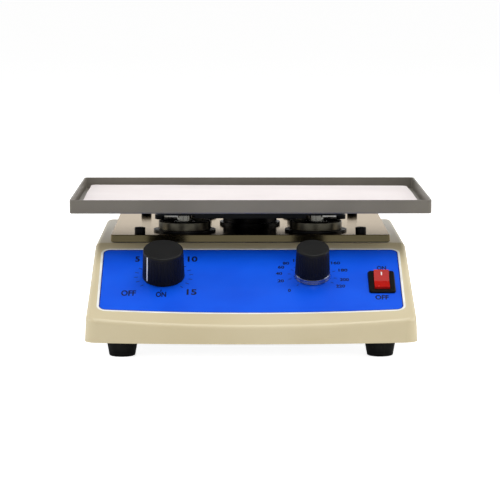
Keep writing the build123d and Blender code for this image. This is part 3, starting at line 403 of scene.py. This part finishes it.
# Mains inlet
inletBlack = moulded("inletThermoset", {"low": "0D0D0E", "high": "19191A", "roughness": 0.34})
wear("inlet_body", inletBlack)
wear("fuse_drawer", inletBlack)
pinLook = {"low": "B79F62", "high": "D3C08A", "roughness": 0.25, "grain": "Y"}
wear("inlet_pins", groundSteel("nickelBrass", pinLook))
wear("fuse", clearGlass("fuseGlass", {"low": "D8E0E0", "high": "EEF2F2", "roughness": 0.05}))

# Tray
trayLook = {"low": "6F6A61", "high": "79746A", "roughness": 0.45, "peelHeight": 0.05}
wear("tray", enamel("greyEnamel", trayLook))


# A square's corners go round anticlockwise, and a box has its lower four before its upper four
squareCorners = [(-1, -1), (1, -1), (1, 1), (-1, 1)]
boxFaces = np.array([[3, 2, 1, 0], [4, 5, 6, 7], [0, 1, 5, 4], [1, 2, 6, 5], [2, 3, 7, 6], [3, 0, 4, 7]])
sharpFrom = math.radians(40)  # edges that turn more than this stay sharp


def sweepLoop(name, path, outward, profile, place, material):
    # A profile carried round a closed path: point(i, j) = path(i) + outward(i) * profileOut(j), raised by
    # profileUp(j), then set into the world by place. An open profile has its first and last rows closed
    # with one flat face each
    count, rows = len(path), len(profile)
    out = np.array([p[0] for p in profile])[None, :, None]
    up = np.array([p[1] for p in profile])[None, :]
    flat = path[:, None, :] + outward[:, None, :] * out
    points = np.dstack([flat[..., 0], flat[..., 1], np.broadcast_to(up, (count, rows))]).reshape(-1, 3)
    points = points @ np.array(place.to_3x3()).T + np.array(place.translation)
    i = np.arange(count)[:, None]
    j = np.arange(rows - 1)[None, :]
    nextI = (i + 1) % count
    here, ahead = i * rows + j, nextI * rows + j
    faces = np.stack([here, ahead, ahead + 1, here + 1], -1).reshape(-1, 4).tolist()
    if profile[0] != profile[-1]:
        faces.append((np.arange(count) * rows)[::-1].tolist())
        faces.append((np.arange(count) * rows + rows - 1).tolist())
    mesh = bpy.data.meshes.new(name)
    mesh.from_pydata(points, [], faces)
    mesh.shade_smooth()
    mesh.set_sharp_from_angle(angle=sharpFrom)
    return addPiece(name, mesh, material)


def roundedLoop(halfWidth, top, bottom, radius, bow, runCount=64, cornerCount=10):
    # Outline of a plate with round corners: straight sides and top, and a lower edge that sags by bow as a
    # parabola. The corners are quarter circles and the runs between go in even steps. The sag fades up the
    # sides with the sixth power of the way down. The way out at a point is square to the line through its
    # two neighbours
    turns = np.linspace(0, np.pi / 2, cornerCount)
    corner = np.stack([np.cos(turns), np.sin(turns)], 1) * radius
    spin = lambda q: np.array([[math.cos(q), math.sin(q)], [-math.sin(q), math.cos(q)]])
    middles = [(halfWidth - radius, top - radius), (-halfWidth + radius, top - radius),
               (-halfWidth + radius, bottom + radius), (halfWidth - radius, bottom + radius)]
    arcs = [corner @ spin(k * math.pi / 2) + np.array(m) for k, m in enumerate(middles)]
    steps = np.linspace(0, 1, runCount)[1:-1, None]
    runs = [arcs[k][-1] * (1 - steps) + arcs[(k + 1) % 4][0] * steps for k in range(4)]
    path = np.concatenate([p for pair in zip(arcs, runs) for p in pair])
    fade = np.clip((top - radius - path[:, 1]) / (top - bottom - radius), 0, 1) ** 6
    path[:, 1] -= bow * (1 - (path[:, 0] / halfWidth) ** 2) * fade
    tangent = np.roll(path, -1, 0) - np.roll(path, 1, 0)
    tangent /= np.linalg.norm(tangent, axis=1)[:, None]
    outward = np.stack([tangent[:, 1], -tangent[:, 0]], 1)
    return path, outward


# Mat: a loose sheet of rubber, cut with round corners and laid a little askew in the tray
matLook = {"low": "E2D9D8", "high": "E8E0DF", "roughness": 0.75, "ribPitch": 3.0, "ribHeight": 0.12}
matShape = {
    "cornerRadius": 8 * mm, "edgeRound": 0.9 * mm, "askew": 0.35, "inset": 1.1 * mm, "slant": 14 * mm,
    "wander": 0.5 * mm, "wanderLength": 17 * mm,
}
matLow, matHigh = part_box("tray_mat")
matMiddle = (matLow + matHigh) / 2
matHalf = (matHigh - matLow) / 2
edgeTurns = np.linspace(0, math.pi / 2, 6)
edgeRound = matShape["edgeRound"]
matThick = matHigh.z - matLow.z
# Its edge is rounded above and cut back a little at the foot
matProfile = [(-edgeRound, 0.0), (-0.3 * edgeRound, 0.2 * edgeRound), (0.0, edgeRound)] + [
    (-edgeRound * (1 - math.cos(q)), matThick - edgeRound * (1 - math.sin(q))) for q in edgeTurns
]
matPath, matOut = roundedLoop(
    matHalf.x - matShape["inset"], matHalf.y - matShape["inset"], -matHalf.y + matShape["inset"],
    matShape["cornerRadius"], 0.0,
)
# Its rear edge was cut on the slant, so the right rear corner stops short, and the edges wander a little
acrossShare = matPath[:, 0] / matHalf.x * 0.5 + 0.5
backShare = np.clip(matPath[:, 1] / matHalf.y, 0, 1)
matPath[:, 1] -= matShape["slant"] * acrossShare * backShare
wander = np.sin(matPath[:, ::-1] / matShape["wanderLength"]).sum(1) / 2
matPath += matOut * (matShape["wander"] * wander)[:, None]
matTurn = Matrix.Rotation(math.radians(matShape["askew"]), 4, "Z")
matPlace = Matrix.Translation((matMiddle.x, matMiddle.y, matLow.z)) @ matTurn
mat = sweepLoop("mat", matPath, matOut, matProfile, matPlace, ribbedMat("whiteRubberMat", matLook))
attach(mat, "platform")
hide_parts("tray_mat")
print("tray finished")

# White border printed round the blue panel. The face's own axes start on the centre line, level with the
# timer's middle
facePlace = Matrix((acrossFace, upFace, faceOut)).transposed().to_4x4()
facePlace.translation = Vector((0, timerMiddle.y, timerMiddle.z))
borderShape = {
    "halfWidth": 134.9 * mm, "top": 46.3 * mm, "bottom": -62.1 * mm, "corner": 6.4 * mm, "bow": 5.8 * mm,
    "width": 2.0 * mm, "proud": 0.12 * mm, "sunk": 0.2 * mm, "bevel": 0.1 * mm, "bevelShare": 0.4,
}
borderPath, borderOut = roundedLoop(
    borderShape["halfWidth"], borderShape["top"], borderShape["bottom"] + borderShape["bow"],
    borderShape["corner"], borderShape["bow"],
)
borderWidth, borderLift, borderSunk, bevel = (
    borderShape[key] for key in ("width", "proud", "sunk", "bevel")
)
bevelFoot = borderShape["bevelShare"] * borderLift
borderProfile = [
    (0.0, -borderSunk), (borderWidth, -borderSunk), (borderWidth, bevelFoot),
    (borderWidth - bevel, borderLift), (bevel, borderLift), (0.0, bevelFoot), (0.0, -borderSunk),
]
border = sweepLoop("panelBorder", borderPath, borderOut, borderProfile, facePlace, paintWhite)
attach(border, "housing")

# Painted shade of the recess step: a dark blue line just inside the border, its top just clear of the
# film's face
rimShadeLook = {"low": "02206E", "high": "03298A", "roughness": 0.4, "coat": 0.1, "coatRoughness": 0.1}
rimShadePaint = polyester("paintedRimShade", rimShadeLook)
rimShadeShape = {"inner": -0.9 * mm, "foot": -0.25 * mm, "top": -0.06 * mm}
shadeInner, shadeFoot, shadeTop = rimShadeShape["inner"], rimShadeShape["foot"], rimShadeShape["top"]
rimShadeProfile = [
    (shadeInner, shadeFoot), (0.0, shadeFoot), (0.0, shadeTop), (shadeInner, shadeTop), (shadeInner, shadeFoot),
]
rimShade = sweepLoop("panelRimShade", borderPath, borderOut, rimShadeProfile, facePlace, rimShadePaint)
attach(rimShade, "housing")

# White bar on the rocker's upper half, laid on its surface where a line square to the panel lands
markShape = {
    "up": 7.0 * mm, "width": 1.1 * mm, "length": 3.4 * mm, "proud": 0.12 * mm, "sunk": 0.1 * mm,
    "eyeHeight": 50 * mm,
}
eye = rockerMiddle + upFace * markShape["up"] + faceOut * markShape["eyeHeight"]
landed, lean = nodes["rocker"].ray_cast(eye, -faceOut)[1:3]
markUp = lean.cross(acrossFace).normalized()
halfAcross = acrossFace * markShape["width"] / 2
halfUp = markUp * markShape["length"] / 2
markPoints = [
    landed + halfAcross * x + halfUp * y + lean * z
    for z in (-markShape["sunk"], markShape["proud"]) for x, y in squareCorners
]
markMesh = bpy.data.meshes.new("rockerMark")
markMesh.from_pydata(markPoints, [], boxFaces.tolist())
rockerMark = addPiece("rockerMark", markMesh, paintWhite)
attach(rockerMark, "switch_rocker")

# Dial printing: each word has its angle round its dial, clockwise from up the slope, in degrees, then its
# radius, width and height in mm
ink = moulded("navyInk", {"low": "03081C", "high": "050B24", "roughness": 0.4, "specular": 0.2})
filmFace = -0.1 * mm  # below the housing's face
inkThick = 0.03 * mm
printHeight = filmFace + inkThick
inkSpread = 0.03  # how much bolder than the font, as a share of its size
timerWords = {
    "OFF": (226.7, 42.0, 13.2, 9.4), "ON": (182.8, 31.2, 9.2, 8.8), "5": (320.6, 38.6, 4.2, 9.6),
    "10": (40.9, 39.4, 9.0, 9.6), "15": (136.6, 37.5, 9.0, 9.6),
}
speedWords = {
    "0": (220.9, 32.4, 2.6, 5.0), "20": (253.8, 29.9, 5.8, 5.0), "40": (278.4, 30.5, 5.8, 5.0),
    "60": (298.8, 32.0, 5.8, 5.0), "80": (313.4, 32.4, 5.8, 5.0), "100": (335.0, 30.0, 8.2, 5.0),
    "120": (0.0, 29.0, 8.2, 5.0), "140": (22.0, 30.5, 8.2, 5.0), "160": (43.9, 31.5, 8.2, 5.0),
    "180": (70.2, 29.8, 8.2, 5.0), "200": (102.1, 29.4, 8.2, 5.0), "220": (124.8, 30.3, 8.2, 5.0),
}
switchWords = {"ON": (2.7, 25.4, 8.4, 7.0), "OFF": (182.2, 24.8, 12.0, 7.6)}


def onFace(middle, degrees, radius):  # a place on the face, in millimetres round a dial
    turn = math.radians(degrees)
    return middle + (acrossFace * math.sin(turn) + upFace * math.cos(turn)) * radius * mm


def printWord(name, word, place, width, height):
    # A word in the font's own outline: each point is taken from the middle of the word's box, divided by
    # the box, multiplied by the wanted width, height and thickness, then turned into the face
    curve = bpy.data.curves.new(name, "FONT")
    curve.body = word
    curve.align_x = "CENTER"
    curve.align_y = "CENTER"
    curve.size = 1.0
    curve.extrude = 0.004  # any depth will do, the thickness is set below
    curve.offset = inkSpread
    curve.resolution_u = 3
    text = bpy.data.objects.new(name, curve)
    bpy.context.scene.collection.objects.link(text)
    bpy.context.view_layer.update()
    mesh = bpy.data.meshes.new_from_object(text.evaluated_get(bpy.context.evaluated_depsgraph_get()))
    bpy.data.objects.remove(text)
    points = np.zeros(len(mesh.vertices) * 3, np.float32)
    mesh.vertices.foreach_get("co", points)
    points = points.reshape(-1, 3)
    low, high = points.min(0), points.max(0)
    points = (points - (low + high) / 2) / (high - low) * np.array([width * mm, height * mm, inkThick])
    points = points @ np.array([acrossFace, upFace, faceOut]) + np.array(place + faceOut * printHeight)
    mesh.vertices.foreach_set("co", points.astype(np.float32).ravel())
    mesh.update()
    return addPiece(name, mesh, ink)


def printTicks(name, middle, degrees, inner, outer, width):
    # Short bars pointing at a dial: each is a box from the inner to the outer radius, and the eight corners
    # of all bars are worked out at once: along the bar at its angle, to each side by half the width, and up
    # and down by half the ink
    turns = np.radians(np.array(degrees, float))[:, None]
    reach = np.array([inner, outer, outer, inner] * 2)[None, :] * mm
    side = np.array([1, 1, -1, -1] * 2)[None, :] * width / 2 * mm
    lift = np.array([-1] * 4 + [1] * 4)[None, :] * inkThick / 2 + printHeight
    across = np.sin(turns) * reach + np.cos(turns) * side
    upwards = np.cos(turns) * reach - np.sin(turns) * side
    local = np.stack([across, upwards, np.broadcast_to(lift, across.shape)], -1).reshape(-1, 3)
    points = local @ np.array([acrossFace, upFace, faceOut]) + np.array(middle)
    faces = (boxFaces + 8 * np.arange(len(degrees))[:, None, None]).reshape(-1, 4)
    mesh = bpy.data.meshes.new(name)
    mesh.from_pydata(points, [], faces.tolist())
    return addPiece(name, mesh, ink)


printed = []
for group, words, middle in (
    ("timer", timerWords, timerMiddle), ("speed", speedWords, speedMiddle),
    ("switch", switchWords, rockerMiddle),
):
    level = (middle - timerMiddle).dot(faceOut)  # how far this middle stands off the face
    for word, (degrees, radius, width, height) in words.items():
        place = onFace(middle - faceOut * level, degrees, radius)
        printed.append(printWord(f"{group}Word{word}", word, place, width, height))
# Scales, in degrees clockwise from up the slope, and their bars in mm
timerScale = {"off": 230, "hold": 184, "full": 138 + 360, "minutes": 15}
minuteTurn = (timerScale["full"] - timerScale["off"]) / timerScale["minutes"]
timerTurns = [timerScale["off"] + minuteTurn * m for m in range(timerScale["minutes"] + 1)]
timerTicks = {"inner": 23.2, "outer": 26.6, "width": 0.8}
speedTurns = [221, 256, 280, 300, 314, 335, 0, 22, 41.5, 68, 100, 123]
speedTicks = {"inner": 19.6, "outer": 22.4, "width": 0.6}
printed.append(printTicks("timerTicks", timerMiddle, timerTurns + [timerScale["hold"]], **timerTicks))
printed.append(printTicks("speedTicks", speedMiddle, speedTurns, **speedTicks))
for piece in printed:
    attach(piece, "housing")
print("printing done:", len(printed), "pieces")

# Studio: a white floor in dim air
studio = {
    "floor": "F4F4F3", "floorDark": "F2F2F1", "floorRoughness": 0.8, "floorGlow": 0.22, "floorBurn": 0.85,
    "floorReach": 60, "air": 0.15, "airBurn": 1.0,
}
floorMaterial, floorTree, floorShader, floorSpot = startMaterial(
    "studioPaper", Roughness=studio["floorRoughness"], Emission_Color=linearFrom("FFFFFF")
)
paper = addNoise(floorTree, floorSpot, 400)
twoTone(floorTree, floorShader, paper, studio["floorDark"], studio["floor"])
floorMesh = bpy.data.meshes.new("floor")
floorCorners = [(x * studio["floorReach"], y * studio["floorReach"], 0) for x, y in squareCorners]
floorMesh.from_pydata(floorCorners, [], [(0, 1, 2, 3)])
# The paper burns out to white for the camera alone, as an overexposed backdrop does
seen = addNode(floorTree, "ShaderNodeLightPath").outputs["Is Camera Ray"]
glowLinks = [(0, seen), (3, studio["floorGlow"]), (4, studio["floorBurn"])]
glow = addNode(floorTree, "ShaderNodeMapRange", glowLinks)
floorTree.links.new(glow.outputs[0], floorShader.inputs["Emission Strength"])
floor = addPiece("floor", floorMesh, floorMaterial)

# The air is dim, and white for the camera alone
world = bpy.data.worlds.new("studioAir")
bpy.context.scene.world = world
world.use_nodes = True
background = world.node_tree.nodes["Background"]
background.inputs[0].default_value = linearFrom("FFFFFF")
looking = addNode(world.node_tree, "ShaderNodeLightPath").outputs["Is Camera Ray"]
airLinks = [(0, looking), (3, studio["air"]), (4, studio["airBurn"])]
air = addNode(world.node_tree, "ShaderNodeMapRange", airLinks)
world.node_tree.links.new(air.outputs[0], background.inputs[1])


def softLight(name, place, aim, width, height, power):  # metres and watts
    data = bpy.data.lights.new(name, "AREA")
    data.shape = "RECTANGLE"
    data.size = width
    data.size_y = height
    data.energy = power
    light = bpy.data.objects.new(name, data)
    bpy.context.scene.collection.objects.link(light)
    light.location = place
    light.rotation_euler = (Vector(aim) - Vector(place)).to_track_quat("-Z", "Y").to_euler()


# A broad light overhead, a weaker one in front, one at each side and a wide one behind, which the polished
# deck reflects
lights = {
    "overhead": {"place": (0.1, -0.3, 1.7), "aim": (0, 0, 0.05), "width": 1.8, "height": 1.4, "power": 26},
    "front": {"place": (0.2, -2.4, 1.0), "aim": (0, 0, 0.08), "width": 1.4, "height": 0.7, "power": 8},
    "left": {"place": (-1.6, 0.1, 0.7), "aim": (0, 0, 0.06), "width": 1.0, "height": 1.0, "power": 10},
    "right": {"place": (1.6, 0.1, 0.7), "aim": (0, 0, 0.06), "width": 1.0, "height": 1.0, "power": 10},
    "backdrop": {"place": (0, 3.5, 1.25), "aim": (0, 0, 0.3), "width": 6.0, "height": 2.4, "power": 46},
}
for name, light in lights.items():
    softLight(name, **light)
bpy.context.scene.view_settings.view_transform = "Standard"
print("studio lit")
